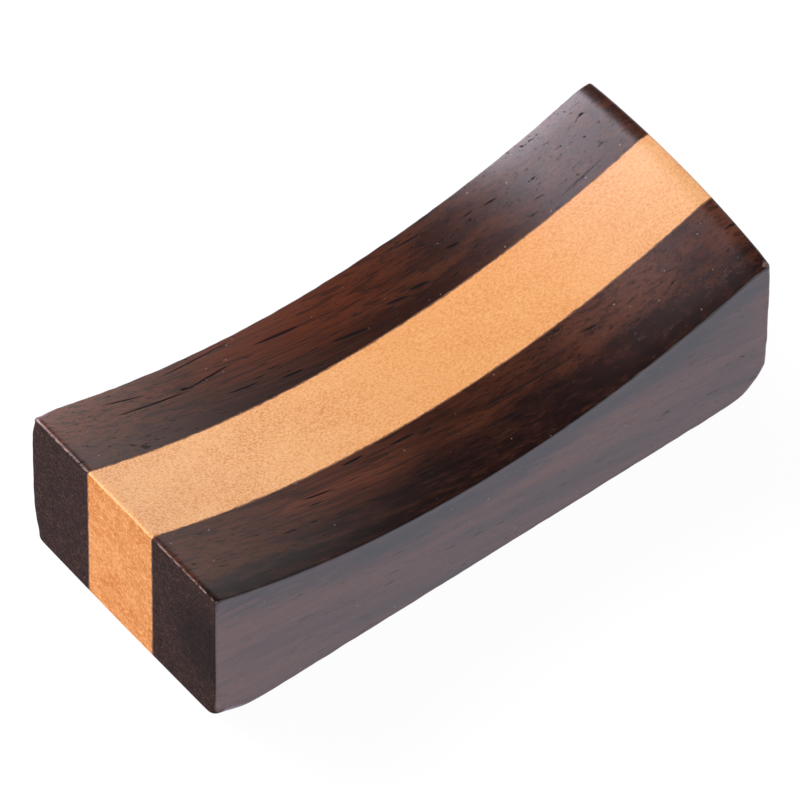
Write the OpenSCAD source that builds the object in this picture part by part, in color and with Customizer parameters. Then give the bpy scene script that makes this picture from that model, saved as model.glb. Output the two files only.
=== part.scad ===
// Laminated chopstick rest: a pale maple core glued between two dark rosewood strips.
// +X runs along the saddle, +Y across the strips and +Z up.
// The origin is at the middle of the flat base.

/* [Block] */
// Length of the block along its middle
block_l = 48.5; // [42:0.5:60]
// Height at which the saddle would meet both end faces if no edge were eased
end_h = 13.7; // [12:0.1:18]
// Height of wood left under the lowest point of the saddle
waist_h = 8.95; // [6:0.05:10]
// Bow of the left end face, at -X: how far its middle stands out beyond its two sides
left_bow = 0.05; // [0:0.05:0.8]
// Bow of the right end face, at +X
right_bow = 0.4; // [0:0.05:0.8]
// How much farther the back of the right end face stands out than its front
right_skew = 0.35; // [0:0.05:0.8]

/* [Strips] */
// Width of the rosewood strip at the back, on the +Y side
back_w = 6.2; // [4:0.1:10]
// Width of the maple core
core_w = 7; // [4:0.1:12]
// Width of the rosewood strip at the front, on the -Y side
front_w = 6.8; // [4:0.1:10]
// Thickness of the glue film in each of the two seams
glue_t = 0.08; // [0.04:0.01:0.2]

/* [Eased top edges] */
// Length that is eased off at the top of the left end
left_crest_l = 0.6; // [0.6:0.1:4]
// Angle through which that easing turns down from the saddle
left_crest_turn = 30; // [20:1:60]
// Length that is eased off at the top of the right end
right_crest_l = 1.4; // [1:0.1:4]
// Angle through which that easing turns down from the saddle
right_crest_turn = 22; // [20:1:60]

/* [Eased bottom edges] */
// Length that is eased off at the bottom of the left end
left_foot_l = 2.6; // [1:0.1:5]
// Angle through which that easing turns up from the base
left_foot_turn = 30; // [20:1:80]
// Length that is eased off at the bottom of the right end
right_foot_l = 3.1; // [1:0.1:5]
// Angle through which that easing turns up from the base
right_foot_turn = 72; // [20:1:80]

/* [Sanded edges] */
// Radius sanded on the edges of the side faces and of the left end face
edge_r = 0.25; // [0.1:0.05:0.4]
// Radius sanded on the edges of the right end face, never less than the one above
right_edge_r = 0.45; // [0.1:0.05:0.7]

/* [Smoothness] */
// Facets in each easing, and in each sanded edge at the ends
corner_steps = 6; // [3:1:10]
// Facets along the saddle
saddle_steps = 48; // [16:2:72]
// Facets across a sanded edge of the side faces
edge_steps = 4; // [2:1:6]
// Widest facet across the strips
facet_w = 1.6; // [1:0.1:4]

/* [Hidden] */

// Colours of the oiled woods and of the dried glue
rosewood_colour = "#3d2720";
maple_colour = "#dfa468";
glue_colour = "#7a5534";

// Overall width, and the places of the seams across it
block_w = back_w + glue_t + core_w + glue_t + front_w;
back_seam_y = block_w / 2 - back_w;
core_back_y = back_seam_y - glue_t;
core_front_y = core_back_y - core_w;
front_seam_y = core_front_y - glue_t;

// The saddle is an arc through the tops of both ends and the waist
saddle_depth = end_h - waist_h;
saddle_r = (pow(block_l / 2, 2) + pow(saddle_depth, 2)) / (2 * saddle_depth);
saddle_z = waist_h + saddle_r;

// The edges of the end faces are a little rounder than those of the side faces, so that where
// they meet the outline can be drawn in by the whole of edge_r and still keep an arc
spare_r = edge_r / 20;
left_tip_r = edge_r + spare_r;
right_tip_r = max(right_edge_r, left_tip_r);

// Distance of an end face from the middle of the block, at y across it, with the end bowed and
// out of square
function half_l(y, bow, skew) =
    block_l / 2 - bow * pow(2 * y / block_w, 2) + skew * y / block_w;

// Slope of the saddle at a distance x from its middle, in degrees, and its height there
function saddle_slope(x) = asin(x / saddle_r);
function saddle_height(x) = saddle_z - saddle_r * cos(saddle_slope(x));

// Points of an arc, at angles measured from straight up towards X, without those before the first
function arc(centre, r, from, to, first = 0) = [
    for (i = [first:corner_steps])
        let (a = from + (to - from) * i / corner_steps)
        centre + r * [sin(a), cos(a)]
];

// One corner of the side view, as points from the face that it eases to the end face at end_x.
// It is drawn as a top corner at +X: the face rises by slope and is left at the height start, a
// wide arc turns it down, and a small arc of radius tip_r turns into the end face. All of it is
// drawn in by inset.
function corner(end_x, start, slope, ease_l, turn, tip_r, inset) =
    let (
        ease_r = ease_l / (sin(slope) + sin(turn - slope)),
        ease = [end_x - ease_l + ease_r * sin(slope), start - ease_r * cos(slope)],
        meet = asin((end_x - tip_r - ease[0]) / (ease_r - tip_r)),
        tip = ease + (ease_r - tip_r) * [sin(meet), cos(meet)]
    )
    concat(arc(ease, ease_r - inset, -slope, meet), arc(tip, tip_r - inset, meet, 90, 1));

// The corner at the top of an end, which eases the saddle
function crest(end_x, ease_l, turn, tip_r, inset) =
    let (x = end_x - ease_l)
    corner(end_x, saddle_height(x), saddle_slope(x), ease_l, turn, tip_r, inset);

// The corner at the bottom of an end, which eases the flat base
function foot(end_x, ease_l, turn, tip_r, inset) =
    corner(end_x, 0, 0, ease_l, turn, tip_r, inset);

function flipped(points, flip) = [for (p = points) [p[0] * flip[0], p[1] * flip[1]]];
function reversed(points) = [for (i = [len(points) - 1:-1:0]) points[i]];

// The side view of the block in X and Z at y, drawn in by inset, anticlockwise from the base
function outline(y, inset) =
    let (
        left_x = half_l(y, left_bow, 0),
        right_x = half_l(y, right_bow, right_skew),
        from = saddle_slope(right_x - right_crest_l),
        to = -saddle_slope(left_x - left_crest_l)
    )
    concat(
        flipped(foot(right_x, right_foot_l, right_foot_turn, right_tip_r, inset), [1, -1]),
        reversed(crest(right_x, right_crest_l, right_crest_turn, right_tip_r, inset)),
        [for (i = [1:saddle_steps - 1])
            let (a = from + (to - from) * i / saddle_steps)
            [(saddle_r + inset) * sin(a), saddle_z - (saddle_r + inset) * cos(a)]],
        flipped(crest(left_x, left_crest_l, left_crest_turn, left_tip_r, inset), [-1, 1]),
        reversed(flipped(foot(left_x, left_foot_l, left_foot_turn, left_tip_r, inset), [-1, -1]))
    );

// A solid through side views of the block, where each ring is [y, inset] and y rises
module loft(rings) {
    views = [for (ring = rings) outline(ring[0], ring[1])];
    count = len(views[0]);
    last = len(rings) - 1;
    polyhedron(
        points = [for (k = [0:last]) for (p = views[k]) [p[0], rings[k][0], p[1]]],
        faces = concat(
            [[for (j = [count - 1:-1:0]) j]],
            [for (k = [0:last - 1]) for (j = [0:count - 1])
                let (next = (j + 1) % count, low = k * count, high = low + count)
                [low + j, low + next, high + next, high + j]],
            [[for (j = [0:count - 1]) last * count + j]]
        )
    );
}

// Rings for a stretch of the block with full height, between two places across it
function plain_rings(y_from, y_to) =
    let (steps = ceil(abs(y_to - y_from) / facet_w))
    [for (i = [0:steps]) [y_from + (y_to - y_from) * i / steps, 0]];

// Rings for the sanded edge that runs round a side face at face_y
function edge_rings(face_y) = [
    for (i = [1:edge_steps])
        let (a = 90 * i / edge_steps)
        [face_y - sign(face_y) * edge_r * (1 - sin(a)), edge_r * (1 - cos(a))]
];

// An outer strip, from its seam to its sanded side face, on either side of the core
module outer_strip(seam_y, face_y) {
    rings = concat(plain_rings(seam_y, face_y - sign(face_y) * edge_r), edge_rings(face_y));
    loft(face_y > seam_y ? rings : reversed(rings));
}

module back_rosewood_strip() {
    color(rosewood_colour)
        outer_strip(back_seam_y, block_w / 2);
}

module back_glue_line() {
    color(glue_colour)
        loft(plain_rings(core_back_y, back_seam_y));
}

module maple_core_strip() {
    color(maple_colour)
        loft(plain_rings(core_front_y, core_back_y));
}

module front_glue_line() {
    color(glue_colour)
        loft(plain_rings(front_seam_y, core_front_y));
}

module front_rosewood_strip() {
    color(rosewood_colour)
        outer_strip(front_seam_y, -block_w / 2);
}

back_rosewood_strip();
back_glue_line();
maple_core_strip();
front_glue_line();
front_rosewood_strip();
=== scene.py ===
"""A laminated chopstick rest: a maple core glued between two rosewood strips and sanded as one block."""
import math

import bpy
import numpy as np
from mathutils import Matrix, Vector, noise


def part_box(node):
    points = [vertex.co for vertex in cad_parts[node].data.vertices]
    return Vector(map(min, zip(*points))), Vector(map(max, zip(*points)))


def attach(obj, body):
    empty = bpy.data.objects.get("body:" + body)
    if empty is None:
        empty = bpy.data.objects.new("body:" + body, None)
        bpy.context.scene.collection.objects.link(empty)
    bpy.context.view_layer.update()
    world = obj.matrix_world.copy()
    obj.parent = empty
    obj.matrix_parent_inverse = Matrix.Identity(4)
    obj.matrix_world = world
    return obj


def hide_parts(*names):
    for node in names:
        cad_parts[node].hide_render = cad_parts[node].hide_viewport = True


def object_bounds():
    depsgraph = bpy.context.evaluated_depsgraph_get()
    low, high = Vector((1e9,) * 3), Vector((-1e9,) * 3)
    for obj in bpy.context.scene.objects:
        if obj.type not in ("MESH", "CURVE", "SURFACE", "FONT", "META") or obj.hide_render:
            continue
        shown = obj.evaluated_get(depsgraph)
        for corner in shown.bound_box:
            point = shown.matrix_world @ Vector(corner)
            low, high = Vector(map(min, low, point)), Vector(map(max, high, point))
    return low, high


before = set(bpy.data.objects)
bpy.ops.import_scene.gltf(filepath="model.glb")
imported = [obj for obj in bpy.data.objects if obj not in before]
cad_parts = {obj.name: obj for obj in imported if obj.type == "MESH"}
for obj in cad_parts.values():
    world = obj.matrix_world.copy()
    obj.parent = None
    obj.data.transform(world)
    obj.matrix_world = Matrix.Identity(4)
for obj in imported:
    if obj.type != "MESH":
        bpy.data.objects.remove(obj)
cad_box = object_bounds()

# Sizes and places are in millimetres, unless a name or a comment says metres. Angles are written in
# degrees and worked with in radians.
MM = 0.001

# Overall size and the places of the seams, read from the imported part
BLOCK_W = (cad_box[1].y - cad_box[0].y) / MM
SEAMS = {
    node: tuple(corner.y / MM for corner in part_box(node))
    for node in (
        "back_rosewood_strip",
        "back_glue_line",
        "maple_core_strip",
        "front_glue_line",
        "front_rosewood_strip",
    )
}

MAPLE_MIDDLE = sum(SEAMS["maple_core_strip"]) / 2
MAPLE_HALF = (SEAMS["maple_core_strip"][1] - SEAMS["maple_core_strip"][0]) / 2

# The side view: a saddle between two eased ends
BLOCK_L = 48.5
END_H = 13.7
WAIST_H = 8.95
SADDLE_DEPTH = END_H - WAIST_H
SADDLE_R = ((BLOCK_L / 2) ** 2 + SADDLE_DEPTH**2) / (2 * SADDLE_DEPTH)
SADDLE_Z = WAIST_H + SADDLE_R

# The top is sanded a little rounder across: it drops by this much from its middle to each side
CROWN = 0.13


def crown_lift(y):
    """How much higher the crowned top is at y than its average height."""
    return CROWN * (1 / 3 - (2 * y / BLOCK_W) ** 2)


class Easing:
    """A sanded corner of the side view: a wide arc off one face, then a small arc into the end face.

    It takes up length of the face. By itself the wide arc would turn through turn on its way to the end
    face, and the small one, of radius tip_r, rounds off its tip."""

    def __init__(self, length, turn, tip_r):
        self.length, self.turn, self.tip_r = length, math.radians(turn), tip_r

    def points(self, end_x, start, slope, steps):
        """Points of the corner, drawn as a top one at +X, from the face to the end face at end_x.

        The face has the height start and rises by slope where the easing begins."""
        wide_r = self.length / (math.sin(slope) + math.sin(self.turn - slope))
        wide = np.array([end_x - self.length + wide_r * math.sin(slope), start - wide_r * math.cos(slope)])
        meet = math.asin((end_x - self.tip_r - wide[0]) / (wide_r - self.tip_r))
        tip = wide + (wide_r - self.tip_r) * np.array([math.sin(meet), math.cos(meet)])
        wide_turns = np.linspace(-slope, meet, steps + 1)
        tip_turns = np.linspace(meet, math.pi / 2, steps + 1)[1:]
        return np.concatenate([
            wide + wide_r * np.stack([np.sin(wide_turns), np.cos(wide_turns)], 1),
            tip + self.tip_r * np.stack([np.sin(tip_turns), np.cos(tip_turns)], 1),
        ])


class End:
    """One end of the block: how its face is bowed and out of square, and how its corners are eased."""

    def __init__(self, side, bow, skew, crest, foot):
        self.side, self.bow, self.skew, self.crest, self.foot = side, bow, skew, crest, foot

    def reach(self, y):
        """Distance of the end face from the middle of the block, at y across it."""
        return BLOCK_L / 2 - self.bow * (2 * y / BLOCK_W) ** 2 + self.skew * y / BLOCK_W

    def crest_points(self, y):
        """The eased top corner, from the saddle to the end face."""
        end_x = self.reach(y)
        slope = math.asin((end_x - self.crest.length) / SADDLE_R)
        start = SADDLE_Z + crown_lift(y) - SADDLE_R * math.cos(slope)
        return self.crest.points(end_x, start, slope, CORNER_STEPS) * [self.side, 1]

    def foot_points(self, y):
        """The eased bottom corner, from the base to the end face."""
        return self.foot.points(self.reach(y), 0, 0, CORNER_STEPS) * [self.side, -1]


LEFT = End(-1, bow=0.05, skew=0, crest=Easing(0.6, 30, 0.26), foot=Easing(2.6, 30, 0.26))
RIGHT = End(1, bow=0.33, skew=0.45, crest=Easing(1.7, 17, 0.28), foot=Easing(3.1, 72, 0.45))

# Facets of the mesh in each arc of an easing, and along the saddle, the base and the end faces
CORNER_STEPS, SADDLE_STEPS, BASE_STEPS, END_STEPS = 10, 240, 90, 50
# Widest facet across the strips
CROSS_STEP = 0.45
# Angle between facets from which their edge is shaded sharp
SHARP_ANGLE = math.radians(50)


def between(start, end, steps):
    """Evenly spaced points on the straight line from start to end, without its two ends."""
    shares = np.arange(1, steps) / steps
    return start + shares[:, None] * (end - start)


def side_view(y):
    """The outline of the block in X and Z at y, anticlockwise from the left end of the base."""
    right_foot, right_crest = RIGHT.foot_points(y), RIGHT.crest_points(y)[::-1]
    left_crest, left_foot = LEFT.crest_points(y), LEFT.foot_points(y)[::-1]
    angles = [math.asin(p[0] / SADDLE_R) for p in (right_crest[-1], left_crest[0])]
    turns = np.linspace(*angles, SADDLE_STEPS + 1)[1:-1]
    heights = SADDLE_Z + crown_lift(y) - SADDLE_R * np.cos(turns)
    saddle = np.stack([SADDLE_R * np.sin(turns), heights], 1)
    return np.concatenate([
        right_foot,
        between(right_foot[-1], right_crest[0], END_STEPS),
        right_crest,
        saddle,
        left_crest,
        between(left_crest[-1], left_foot[0], END_STEPS),
        left_foot,
        between(left_foot[-1], right_foot[0], BASE_STEPS),
    ])


# Hand sanding: the whole skin waves a little, and the sanded edges differ in radius along the block
WAVE_LENGTH, WAVE_HEIGHT = 9, 0.025
EDGE_R, EDGE_RAGGED, RAGGED_LENGTH = 0.13, 0.07, 0.8
# Seeds of that noise: for the skin, for the side faces, and for the sanded edge of each outer strip
SKIN_SEED, FACE_SEED, BACK_SEED, FRONT_SEED = 3, 5, 11, 17

# The rings of a side face are drawn in towards a line inside the block, at this height and ending this
# far short of both ends
SPINE_IN, SPINE_Z = 6, 4.4
# Facets across a sanded edge, and how much of the way to that line each further ring has gone
EDGE_STEPS = 8
FACE_SHARES = (0.04, 0.1, 0.18, 0.27, 0.37, 0.48, 0.6, 0.72, 0.84)
# Least share of a step towards that line that is taken to lead straight in from the outline
LEAST_LEAN = 0.5


class Worn:
    """A place on a side face where its edge is sanded rounder by extra, which fades out over reach."""

    def __init__(self, x, z, reach, extra):
        self.place, self.reach, self.extra = np.array([x, z]), reach, extra


HALF_L = BLOCK_L / 2
BACK_WEAR = (
    Worn(-HALF_L, END_H, 1.4, 0.55),
    Worn(-HALF_L, 0, 3.0, 0.9),
    Worn(HALF_L, END_H, 1.2, 0.15),
    Worn(HALF_L, 0, 3.0, 0.6),
)
FRONT_WEAR = (
    Worn(-HALF_L, END_H, 0.7, 0.25),
    Worn(-HALF_L, 0, 2.4, 0.9),
    Worn(HALF_L, END_H, 1.6, 0.35),
    Worn(HALF_L, 0, 3.0, 0.4),
)


def ripple(points, size, seed):
    """Smooth noise from -1 to 1 at each point, with waves about size long."""
    shift = Vector((seed, 0, 0))
    return np.array([noise.noise(Vector(p) / size + shift) for p in points])


def outward(ring):
    """Outward directions of a closed outline that runs anticlockwise, seen with X right and Z up."""
    along = np.roll(ring, -1, 0) - np.roll(ring, 1, 0)
    along /= np.linalg.norm(along, axis=1)[:, None]
    return np.stack([along[:, 1], -along[:, 0]], 1)


def spine(ring):
    """The point inside the block that each point of an outline is drawn towards."""
    reach = HALF_L - SPINE_IN
    return np.stack([np.clip(ring[:, 0], -reach, reach), np.full(len(ring), SPINE_Z)], 1)


def ring_at(y):
    """The outline at y with its waves, most of which go inwards, as points in space."""
    ring = side_view(y)
    in_space = np.insert(ring, 1, y, axis=1)
    rise = WAVE_HEIGHT * (ripple(in_space, WAVE_LENGTH, SKIN_SEED) - 0.5)
    ring = ring + outward(ring) * rise[:, None]
    ring[:, 1] = np.maximum(ring[:, 1], 0)
    return np.insert(ring, 1, y, axis=1)


def edge_radius(ring, wear, seed):
    """Radius sanded on the side face's edge at each point of an outline."""
    radius = EDGE_R + EDGE_RAGGED * ripple(ring, RAGGED_LENGTH, seed)
    for place in wear:
        gone = np.linalg.norm(ring[:, ::2] - place.place, axis=1) / place.reach
        radius += place.extra * np.exp(-(gone**2))
    return radius


def sanded_edge(face_y, wear, seed):
    """Rings of the rounding between the long faces and the side face at face_y, and then the face."""
    ring = ring_at(face_y)
    radius = edge_radius(ring, wear, seed)
    target = spine(ring[:, ::2])
    inward = target - ring[:, ::2]
    reach = np.linalg.norm(inward, axis=1)
    inward /= reach[:, None]
    lean = np.maximum(-(inward * outward(ring[:, ::2])).sum(1), LEAST_LEAN)
    side = math.copysign(1, face_y)
    rings = []
    for turn in np.linspace(0, math.pi / 2, EDGE_STEPS + 1):
        drawn_in = radius * (1 - math.cos(turn)) / lean
        points = ring.copy()
        points[:, ::2] += inward * drawn_in[:, None]
        points[:, 1] = face_y - side * radius * (1 - math.sin(turn))
        rings.append(points)
    rim = rings[-1]
    left = reach - radius / lean
    for share in FACE_SHARES:
        points = rim.copy()
        points[:, ::2] += inward * (left * share)[:, None]
        points[:, 1] -= WAVE_HEIGHT * side * (0.5 + 0.5 * ripple(points, WAVE_LENGTH, FACE_SEED))
        rings.append(points)
    return rings


def loft(name, rings):
    """A closed mesh through rings of equally many points, with y rising from the first to the last."""
    count = len(rings[0])
    faces = [tuple(range(count))[::-1]]
    for k in range(len(rings) - 1):
        for j in range(count):
            low, beside = k * count + j, k * count + (j + 1) % count
            faces.append((low, beside, beside + count, low + count))
    faces.append(tuple(range((len(rings) - 1) * count, len(rings) * count)))
    mesh = bpy.data.meshes.new(name)
    mesh.from_pydata((np.concatenate(rings) * MM).tolist(), [], faces)
    mesh.validate()
    mesh.shade_smooth()
    mesh.set_sharp_from_angle(angle=SHARP_ANGLE)
    piece = bpy.data.objects.new(name, mesh)
    bpy.context.scene.collection.objects.link(piece)
    return piece


def plain_rings(y_from, y_to):
    """Rings from one place across the block to another, no farther apart than the widest facet."""
    count = max(1, math.ceil(abs(y_to - y_from) / CROSS_STEP))
    return [ring_at(y) for y in np.linspace(y_from, y_to, count + 1)]


def outer_strip(name, seam_y, face_y, wear, seed):
    """A rosewood strip from its seam to its sanded side face."""
    widest = max(edge_radius(ring_at(face_y), wear, seed))
    inner = face_y - math.copysign(widest + CROSS_STEP, face_y)
    rings = plain_rings(seam_y, inner) + sanded_edge(face_y, wear, seed)
    return loft(name, rings if face_y > seam_y else rings[::-1])


# Shader maths
class Wire:
    """A socket in a material. Sums and products of wires add the Math nodes that work them out."""

    def __init__(self, finish, socket):
        self.finish, self.socket = finish, socket

    def maths(self, operation, *values):
        """The result of a Math node for values, each of them a wire or a number."""
        return self.finish.node("ShaderNodeMath", {"operation": operation}, dict(enumerate(values)))

    def __add__(self, other):
        return self.maths("ADD", self, other)

    def __sub__(self, other):
        return self.maths("SUBTRACT", self, other)

    def __rsub__(self, other):
        return self.maths("SUBTRACT", other, self)

    def __mul__(self, other):
        return self.maths("MULTIPLY", self, other)

    def __truediv__(self, other):
        return self.maths("DIVIDE", self, other)

    def __abs__(self):
        return self.maths("ABSOLUTE", self)

    __radd__, __rmul__ = __add__, __mul__

    def least(self, other):
        return self.maths("MINIMUM", self, other)

    def most(self, other):
        return self.maths("MAXIMUM", self, other)

    def step(self, low, high):
        """A soft step, from 0 where this wire is at low to 1 where it is at high."""
        settings = {"interpolation_type": "SMOOTHSTEP"}
        inputs = {"Value": self, "From Min": low, "From Max": high}
        return self.finish.node("ShaderNodeMapRange", settings, inputs)


# The Mix node has a set of sockets for each kind of data, and these are the ones that mix colours
MIX_FACTOR, MIX_A, MIX_B, MIX_RESULT = 0, 6, 7, 2


class Finish:
    """A material, or the world, under construction, with the helpers that its recipe is written in."""

    def __init__(self, owner):
        owner.use_nodes = True
        self.owner, self.tree = owner, owner.node_tree
        self.tree.nodes.clear()

    def node(self, kind, settings=None, inputs=None, output=0):
        """Adds a node: its settings are set first, then its sockets, to values or to wires."""
        made = self.tree.nodes.new(kind)
        for name, value in (settings or {}).items():
            setattr(made, name, value)
        for name, value in (inputs or {}).items():
            if isinstance(value, Wire):
                self.tree.links.new(value.socket, made.inputs[name])
            else:
                made.inputs[name].default_value = value
        return Wire(self, made.outputs[output]) if made.outputs else self.owner

    def vector(self, x, y, z):
        return self.node("ShaderNodeCombineXYZ", {}, {"X": x, "Y": y, "Z": z})

    def parts(self, vector):
        """The three numbers of a vector."""
        split = self.node("ShaderNodeSeparateXYZ", {}, {"Vector": vector})
        return [Wire(self, socket) for socket in split.socket.node.outputs]

    def noise(self, vector, detail, roughness=0.5):
        """Noise from 0 to 1, with features about one unit of vector across."""
        inputs = {"Vector": vector, "Scale": 1, "Detail": detail, "Roughness": roughness}
        return self.node("ShaderNodeTexNoise", {"noise_dimensions": "3D"}, inputs)

    def cells(self, vector):
        """The distance to the nearest of points scattered one to a unit, and that point's own number."""
        inputs = {"Vector": vector, "Scale": 1}
        near = self.node("ShaderNodeTexVoronoi", {"voronoi_dimensions": "3D"}, inputs)
        own = self.parts(Wire(self, near.socket.node.outputs["Color"]))[0]
        return near, own

    def length(self, vector):
        return self.node("ShaderNodeVectorMath", {"operation": "LENGTH"}, {0: vector}, output="Value")

    def mix(self, factor, a, b):
        """Colour a where factor is 0 and b where it is 1."""
        inputs = {MIX_FACTOR: factor, MIX_A: a, MIX_B: b}
        return self.node("ShaderNodeMix", {"data_type": "RGBA"}, inputs, output=MIX_RESULT)

    def bump(self, height, strength, depth):
        """The directions that a surface faces when height, from 0 to 1, raises it by up to depth."""
        inputs = {"Height": height, "Strength": strength, "Distance": depth * MM}
        return self.node("ShaderNodeBump", {}, inputs)

    def principled(self, **inputs):
        named = {name.replace("_", " "): value for name, value in inputs.items()}
        return self.node("ShaderNodeBsdfPrincipled", {}, named)

    def mix_shaders(self, factor, a, b):
        """Shader a where factor is 0 and b where it is 1."""
        return self.node("ShaderNodeMixShader", {}, {0: factor, 1: a, 2: b})

    def surface(self, shader, kind="Material"):
        """Ends the recipe, and gives the material or the world."""
        return self.node(f"ShaderNodeOutput{kind}", {}, {"Surface": shader})


def colour(red, green, blue):
    """A colour as the eye reads it, from 0 to 255, in the linear values that shaders take."""
    return tuple(((v / 255 + 0.055) / 1.055) ** 2.4 for v in (red, green, blue)) + (1,)


def grain_space(finish):
    """The place in the block, and three shares from 0 to 1 that come from the way the surface faces.

    They say how far it is an end face, how far it is a side face, and how far it is the rounded top or
    bottom edge of the left end."""
    place = finish.node("ShaderNodeTexCoord", output="Object")
    x, y, z = [part * (1 / MM) for part in finish.parts(place)]
    facing_x, facing_y, _ = finish.parts(finish.node("ShaderNodeTexCoord", output="Normal"))
    edge = facing_x.step(-0.4, -0.55) * facing_x.step(-0.85, -0.7) * abs(facing_y).step(0.4, 0.2)
    return x, y, z, abs(facing_x).step(0.6, 0.85), abs(facing_y).step(0.6, 0.85), edge


def rosewood(name, seed, heart_y, lean, tones, streak_places, nicks):
    """Dark oiled rosewood with black pores and streaks, and a black heart zone in its top at heart_y.

    The grain runs along X and leans by lean, in millimetres across and up for each one along. A heart_y
    that is well beyond the strip gives a wood without a heart zone. Each of tones is a paler or darker
    stretch: its middle in x and y, half length, half width, share and colour. Each of streak_places is a
    black streak in the top: its x, y, half length, half width and lean. Each of nicks is a small worn or
    dirty spot: its x, y, z, radius and colour."""
    finish = Finish(bpy.data.materials.new(name))
    x, y, z, end_grain, flank, edge = grain_space(finish)
    sway = finish.noise(finish.vector(x / 14, seed, z / 9), 1) * 0.45
    across, high, along = y - x * lean[0] + sway, z - x * lean[1] + sway, x + seed

    def fibres(length, width, detail, roughness):
        """Noise drawn out along the grain, with features about length long and width thick."""
        return finish.noise(finish.vector(along / length, across / width, high / width), detail, roughness)

    # Growth rings: broad bands, black streaks and hair-thin lines
    bands = fibres(40, 1.4, 3, 0.55)
    streaks = fibres(20, 0.3, 3, 0.6)
    lines = fibres(8, 0.1, 2, 0.65)
    wood = finish.mix(bands.step(0.35, 0.65), colour(54, 27, 17), colour(79, 42, 25))
    for tone_x, tone_y, half_length, half_width, share, tone in tones:
        away = finish.length(finish.vector((x - tone_x) / half_length, (y - tone_y) / half_width, 0))
        wood = finish.mix(away.step(1, 0.3) * share, wood, tone)
    wood = finish.mix(streaks.step(0.48, 0.62) * 0.6, wood, colour(32, 16, 12))
    wood = finish.mix(lines.step(0.4, 0.7) * 0.45, wood, colour(34, 17, 12))

    # The heart zone
    depth = WAIST_H + x * x * (0.5 / SADDLE_R) - z
    off = finish.length(finish.vector((x - 1) / 30, (y - heart_y) / 2.9, depth / 2.4))
    zone = (off + bands * 0.8 + streaks * 1.7 + lines * 1.1 - 1.8).step(1.25, 0.8)
    clots = fibres(4, 0.5, 4, 0.7)
    flecks = fibres(1.2, 0.3, 4, 0.75)
    wood = finish.mix(zone * (clots.step(0.35, 0.55) * 0.4 + 0.5), wood, colour(22, 11, 10))
    wood = finish.mix(zone * flecks.step(0.4, 0.7) * clots.step(0.6, 0.4) * 0.6, wood, colour(66, 38, 28))

    # Open pores, long and short, that run with the grain
    long_pores = fibres(3.2, 0.3, 2, 0.6).step(0.65, 0.69)
    short_pores = fibres(1.2, 0.16, 1, 0.5).step(0.68, 0.72)
    pores = (long_pores * streaks.step(0.42, 0.52)).most(short_pores * 0.7)
    for place_x, place_y, half_length, half_width, turn in streak_places:
        aside = (y - place_y - (x - place_x) * turn) / half_width
        reach = finish.length(finish.vector((x - place_x) / half_length, aside, 0))
        pores = pores.most((reach + lines * 0.9 + streaks * 0.9).step(2.1, 1.6) * (1 - flank))
    pores = pores * (1 - flank * 0.6) * (1 - zone * 0.8)
    wood = finish.mix(pores * 0.9, wood, colour(11, 7, 8))
    # Painted light: outside the heart zone the side faces are painted paler, to make up for the light that
    # reaches them less than the top
    wood = finish.mix(flank * (1 - zone) * bands.step(0.2, 0.7) * 0.5, wood, colour(96, 58, 46))

    # Tiny pale specks of wax and dust, and the nicks
    near_speck, own_speck = finish.cells(finish.vector(x / 0.8, y / 0.8, z / 0.8))
    specks = near_speck.step(0.09, 0.05) * own_speck.step(0.6, 0.9)
    wood = finish.mix(specks * 0.5, wood, colour(185, 165, 160))
    for nick_x, nick_y, nick_z, radius, tone in nicks:
        apart = finish.length(finish.vector(x - nick_x, (y - nick_y) * 0.7, z - nick_z)) / radius
        wood = finish.mix((apart + clots * 3 + lines).step(3.2, 2.6) * 0.8, wood, tone)

    # Dull end grain with fine sanding scratches, darker half way up beside the heart zone
    scratch = finish.vector(x / 2, (y * 0.9 + z * 0.44) / 0.9, (z * 0.9 - y * 0.44) / 0.1)
    scratches = finish.noise(scratch, 2, 0.6)
    cut = finish.mix(scratches.step(0.3, 0.75), colour(28, 19, 18), colour(70, 49, 42))
    grit = finish.noise(finish.vector(x, y / 0.16, z / 0.16), 2, 0.6)
    cut = finish.mix(grit.step(0.52, 0.74) * 0.45, cut, colour(124, 96, 84))
    cut = finish.mix(grit.step(0.42, 0.3) * 0.6, cut, colour(18, 12, 12))
    core = finish.length(finish.vector(0, (y - heart_y - 1.4) / 2.6, (z - 7.5) / 3.4)) + clots * 0.8
    cut = finish.mix(core.step(2.0, 0.9) * 0.6, cut, colour(22, 16, 16))
    wood = finish.mix(end_grain, wood, cut)

    # The rounded edges of the left end are painted pale here and there: a painted highlight where the
    # light catches them, with some wear
    worn = finish.noise(finish.vector(x / 0.3, y / 0.5, z / 0.3), 3, 0.7)
    # Painted highlight, with some wear, along the rounded edges of the left end
    wood = finish.mix(edge * worn.step(0.45, 0.6) * 0.7, wood, colour(178, 150, 136))

    height = 1 - pores * 0.5 - lines * 0.15
    bump = finish.bump(height, strength=0.24, depth=0.05)
    satin = finish.principled(Base_Color=wood, Roughness=lines * 0.06 + 0.17, IOR=1.57, Normal=bump)
    dull = finish.principled(Base_Color=wood, Roughness=0.8, Specular_IOR_Level=0.08)
    open_wood = end_grain.most(pores * 0.9)
    return finish.surface(finish.mix_shaders(open_wood, satin, dull))


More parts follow.
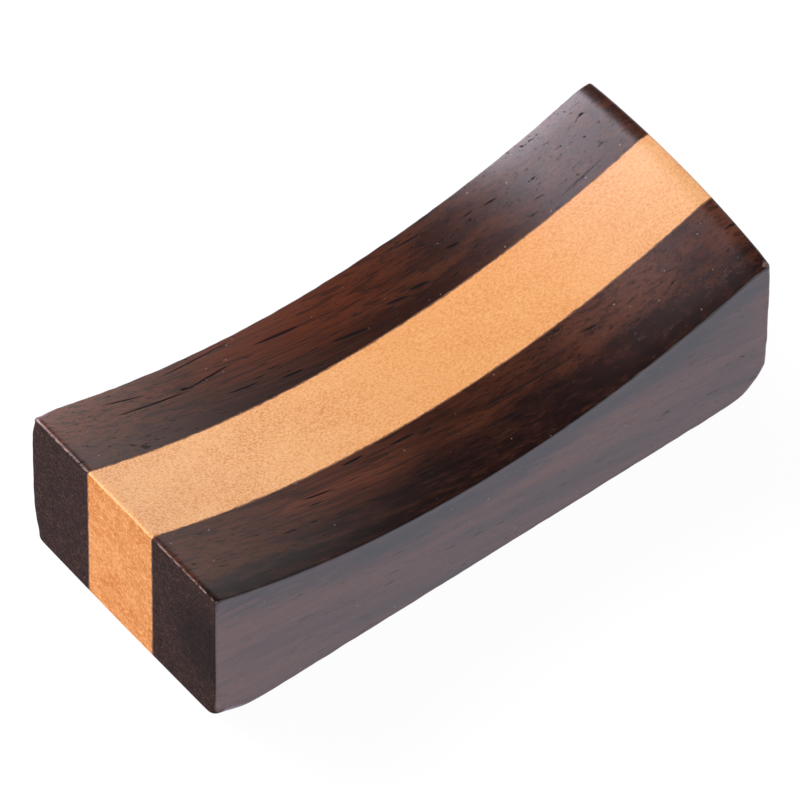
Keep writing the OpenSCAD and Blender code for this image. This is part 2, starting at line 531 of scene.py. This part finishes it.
def maple(name):
    """Pale, fine grained maple, darker and more orange on its end grain, and stained beside its seams."""
    finish = Finish(bpy.data.materials.new(name))
    x, y, z, end_grain, _, edge = grain_space(finish)

    # Faint clouds and a fine mottle, a little more orange in the middle of the block
    mottle = finish.noise(finish.vector(x / 0.2, y / 0.12, z / 0.12), 4, 0.75)
    clouds = finish.noise(finish.vector(x / 7, y / 2.5, z / 2.5), 2, 0.5)
    wood = finish.mix(clouds.step(0.3, 0.7), colour(224, 150, 84), colour(236, 168, 102))
    wood = finish.mix(mottle.step(0.38, 0.62) * 0.85, wood, colour(249, 200, 146))
    wood = finish.mix(mottle.step(0.46, 0.32) * 0.6, wood, colour(202, 130, 70))
    wood = finish.mix(x.step(-16, 4) * x.step(24, 14) * 0.4, wood, colour(226, 148, 70))
    wood = finish.mix(x.step(12, 20) * 0.25, wood, colour(216, 150, 92))

    # End grain, with growth rings, clumps and pits that lie at a slant
    slanted = finish.vector(x / 30, (y * 0.89 + z * 0.45) / 6, (z * 0.89 - y * 0.45) / 0.8)
    rings = finish.noise(slanted, 3, 0.6) * 0.5 + clouds * 0.5
    cut = finish.mix(rings.step(0.35, 0.65), colour(210, 128, 58), colour(228, 156, 90))
    clumps = finish.noise(finish.vector(x / 30, (y + z * 0.5) / 1.1, (z - y * 0.5) / 0.5), 3, 0.65)
    cut = finish.mix(clumps.step(0.5, 0.68) * 0.6, cut, colour(194, 108, 44))
    pits = finish.noise(finish.vector(x, (y + z * 0.5) / 0.28, (z - y * 0.5) / 0.17), 3, 0.75)
    cut = finish.mix(pits.step(0.46, 0.64) * 0.7, cut, colour(250, 190, 130))
    cut = finish.mix(pits.step(0.46, 0.32) * 0.5, cut, colour(198, 114, 50))
    wood = finish.mix(end_grain, wood, cut)

    # Stain of the glue and the dark wood that has crept in from the seams, and paler edges at the left
    # end, a painted highlight with some wear
    beside = abs(y - MAPLE_MIDDLE) - MAPLE_HALF
    creep = finish.noise(finish.vector(x / 0.8, y, z / 0.8), 4, 0.8)
    stain = (beside + (creep - 0.4) * 0.35).step(-0.03, 0.03)
    wood = finish.mix(stain * 0.8, wood, colour(96, 54, 32))
    # Painted highlight, with some wear, along the rounded edges of the left end
    wood = finish.mix(edge * (creep.step(0.4, 0.6) * 0.5 + 0.3), wood, colour(255, 214, 136))

    bump = finish.bump(mottle, strength=0.1, depth=0.02)
    satin = finish.principled(Base_Color=wood, Roughness=mottle * 0.08 + 0.18, Normal=bump)
    dull = finish.principled(Base_Color=wood, Roughness=0.8, Normal=bump, Specular_IOR_Level=0.15)
    return finish.surface(finish.mix_shaders(end_grain, satin, dull))


def dried_glue(name):
    """Thin brown film of wood glue."""
    finish = Finish(bpy.data.materials.new(name))
    x, y, z = grain_space(finish)[:3]
    patches = finish.noise(finish.vector(x / 0.6, y, z / 0.6), 2, 0.5)
    film = finish.mix(patches.step(0.3, 0.7), colour(60, 34, 22), colour(130, 82, 48))
    return finish.surface(finish.principled(Base_Color=film, Roughness=0.6))


# Paler and darker stretches of each rosewood strip: middle in x and y, half length, half width, share
# and colour
BACK_TONES = (
    (-27, 11, 18, 8, 0.6, colour(128, 72, 50)),
    (-4, 9.8, 14, 7, 0.6, colour(102, 47, 23)),
    (-4, 3.6, 26, 3.0, 0.5, colour(36, 16, 11)),
)
FRONT_TONES = (
    (-27, -6, 16, 9, 0.2, colour(112, 64, 44)),
    (-9.5, -5.2, 8.5, 3.2, 0.4, colour(118, 64, 42)),
    (15, -4, 8, 4, 0.3, colour(120, 76, 58)),
    (25, -6, 4, 9, 0.45, colour(122, 74, 56)),
)

# The longest black streaks in the top of each rosewood strip, as they lie in the photograph: x, y, half
# length, half width and lean
BACK_STREAKS = (
    (-17.5, 8.7, 1.6, 0.07, -0.15),
    (-16, 7.5, 3, 0.08, -0.05),
    (-11, 7.7, 2, 0.09, 0.1),
    (-11, 9.5, 2.8, 0.06, 0.05),
    (-9.5, 5.6, 1.3, 0.08, -0.1),
    (-6, 4.8, 0.9, 0.12, -0.1),
    (-4.5, 8.2, 1.9, 0.13, -0.1),
    (-0.5, 5.2, 1.6, 0.14, -0.2),
    (3.7, 5.6, 0.9, 0.14, -0.25),
    (5.6, 5.6, 0.8, 0.17, -0.2),
    (7.5, 9.1, 1.3, 0.08, -0.1),
    (9.4, 6.7, 0.5, 0.12, -0.2),
    (13.5, 7.7, 0.5, 0.08, -0.15),
    (19, 4.6, 2, 0.04, 0.05),
)
FRONT_STREAKS = (
    (-11.5, -4.9, 1.1, 0.08, -0.1),
    (-7.5, -3.7, 0.9, 0.12, 0),
    (-3.5, -4.1, 1.1, 0.12, -0.05),
    (-3.5, -7.5, 1.8, 0.2, -0.15),
    (3, -6.9, 1.6, 0.14, -0.1),
    (6, -5.6, 4.2, 0.07, -0.1),
    (12, -5, 0.6, 0.09, -0.25),
)

# Small worn or dirty spots on each rosewood strip: x, y, z, radius and colour
BACK_NICKS = ((22.6, 7.8, 13.0, 0.4, colour(24, 14, 12)),)
FRONT_NICKS = (
    (-24.2, -9.8, 13.6, 0.2, colour(200, 170, 140)),
    (23.4, -9.9, 13.1, 0.26, colour(130, 104, 96)),
    (23.6, -10, 5.0, 0.35, colour(14, 9, 9)),
)

# The pieces, each with the CAD node that it stands for, its slot and its finish
BACK_SEAM_Y, BACK_FACE_Y = SEAMS["back_rosewood_strip"]
FRONT_FACE_Y, FRONT_SEAM_Y = SEAMS["front_rosewood_strip"]
GLUE = dried_glue("dried_wood_glue")
pieces = (
    (
        outer_strip("back_rosewood", BACK_SEAM_Y, BACK_FACE_Y, BACK_WEAR, BACK_SEED),
        "back_rosewood_strip",
        "rosewood",
        rosewood(
            "oiled_rosewood_back",
            seed=140,
            heart_y=30,
            lean=(-0.1, -0.09),
            tones=BACK_TONES,
            streak_places=BACK_STREAKS,
            nicks=BACK_NICKS,
        ),
    ),
    (
        loft("back_glue", plain_rings(*SEAMS["back_glue_line"])),
        "back_glue_line",
        "wood_glue",
        GLUE,
    ),
    (
        loft("maple_core", plain_rings(*SEAMS["maple_core_strip"])),
        "maple_core_strip",
        "maple",
        maple("oiled_maple"),
    ),
    (
        loft("front_glue", plain_rings(*SEAMS["front_glue_line"])),
        "front_glue_line",
        "wood_glue",
        GLUE,
    ),
    (
        outer_strip("front_rosewood", FRONT_SEAM_Y, FRONT_FACE_Y, FRONT_WEAR, FRONT_SEED),
        "front_rosewood_strip",
        "rosewood",
        rosewood(
            "oiled_rosewood_front",
            seed=0,
            heart_y=-10.1,
            lean=(-0.08, -0.15),
            tones=FRONT_TONES,
            streak_places=FRONT_STREAKS,
            nicks=FRONT_NICKS,
        ),
    ),
)
for piece, node, slot, finish in pieces:
    piece.data.materials.append(finish)
    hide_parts(node)
    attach(piece, "root")


# Floor, light and camera
def pale_floor():
    """A white floor that shows only a little of the block's shadow where it is seen or mirrored."""
    finish = Finish(bpy.data.materials.new("pale_floor"))
    cast = finish.node("ShaderNodeBsdfDiffuse", {}, {"Color": (0.92, 0.92, 0.93, 1)})
    path = finish.node("ShaderNodeLightPath").socket.node.outputs
    kinds = ("Is Camera Ray", "Is Glossy Ray", "Is Transmission Ray")
    direct, mirrored, through = [Wire(finish, path[kind]) for kind in kinds]
    seen = direct.most(mirrored).most(through)
    cool = finish.mix(mirrored, (1, 1, 1, 1), (0.96, 0.98, 1.15, 1))
    white = finish.node("ShaderNodeEmission", {}, {"Color": cool, "Strength": 1.05})
    return finish.surface(finish.mix_shaders(seen * 0.9, cast, white))


# The floor reaches this far each way, in metres, and lies a hair under the base, so that the two don't
# share a plane
FLOOR_REACH_M = 6
FLOOR_GAP = 0.01
floor_mesh = bpy.data.meshes.new("floor")
signs = ((-1, -1), (1, -1), (1, 1), (-1, 1))
corners = [(x * FLOOR_REACH_M, y * FLOOR_REACH_M, -FLOOR_GAP * MM) for x, y in signs]
floor_mesh.from_pydata(corners, [], [(0, 1, 2, 3)])
floor_mesh.materials.append(pale_floor())
floor = bpy.data.objects.new("floor", floor_mesh)
bpy.context.scene.collection.objects.link(floor)


def soft_light(name, direction, distance, size, radiance, tint):
    """A square soft light, with its distance and size in metres, whose sides run square to the block."""
    lamp = bpy.data.lights.new(name, "AREA")
    lamp.shape, lamp.size, lamp.color = "SQUARE", size, tint
    lamp.energy = radiance * math.pi * size**2
    light = bpy.data.objects.new(name, lamp)
    towards = Vector(direction).normalized()
    across = Vector((0, 1, 0)).cross(towards).normalized()
    light.matrix_world = Matrix((across, towards.cross(across), towards)).transposed().to_4x4()
    light.location = towards * distance
    bpy.context.scene.collection.objects.link(light)


soft_light("key_light", (-0.215, 0.81, 0.545), distance=0.4, size=0.32, radiance=7.2, tint=(1, 0.94, 1.07))
soft_light("fill_light", (-0.3, -0.78, 0.55), distance=1.0, size=1.0, radiance=1.5, tint=(0.95, 0.97, 1))


def white_sweep():
    """Studio surroundings: white at the horizon, brighter at the rear, fading to a dim ceiling."""
    sky = Finish(bpy.data.worlds.new("studio"))
    rightward, rearward, height = sky.parts(sky.node("ShaderNodeTexCoord"))
    brightness = (1.6 - height * 2.1).most(0.02).least(1.0) * (rearward.step(0.4, 0.58) * 0.8 + 0.65)
    brightness = brightness * (1 - rightward.step(0.72, 0.86) * 0.3)
    glow = sky.node("ShaderNodeBackground", {}, {"Color": (0.97, 0.98, 1, 1), "Strength": brightness})
    return sky.surface(glow, "World")


bpy.context.scene.world = white_sweep()

# The camera looks at the block as in the photograph, whose frame is FRAME_PX wide. The point AIM shows a
# few pixels to the right of the middle of the frame and below it.
FRAME_PX, SENSOR, LENS = 800, 36, 540
CLIP_START_M, CLIP_END_M = 0.05, 50
PX_PER_MM = 14.7
AZIMUTH, ELEVATION, ROLL = math.radians(-39.05), math.radians(51.37), math.radians(0.88)
AIM = Vector((-0.27, 0, 6.08))
BLOCK_RIGHT_PX, BLOCK_DOWN_PX = 2.39, 6.13

back = Vector((
    math.sin(AZIMUTH) * math.cos(ELEVATION),
    -math.cos(AZIMUTH) * math.cos(ELEVATION),
    math.sin(ELEVATION),
))
level = Vector((0, 0, 1)).cross(back).normalized()
rise = back.cross(level)
right = level * math.cos(ROLL) + rise * math.sin(ROLL)
up = rise * math.cos(ROLL) - level * math.sin(ROLL)
distance = LENS / SENSOR * FRAME_PX / PX_PER_MM
centre = AIM - right * (BLOCK_RIGHT_PX / PX_PER_MM) + up * (BLOCK_DOWN_PX / PX_PER_MM)

lens = bpy.data.cameras.new("camera")
lens.sensor_width, lens.lens = SENSOR, LENS
lens.clip_start, lens.clip_end = CLIP_START_M, CLIP_END_M
camera = bpy.data.objects.new("camera", lens)
turned = Matrix((right, up, back)).transposed().to_4x4()
camera.matrix_world = Matrix.Translation((centre + back * distance) * MM) @ turned
bpy.context.scene.collection.objects.link(camera)
bpy.context.scene.camera = camera

bpy.context.scene.view_settings.view_transform = "Standard"
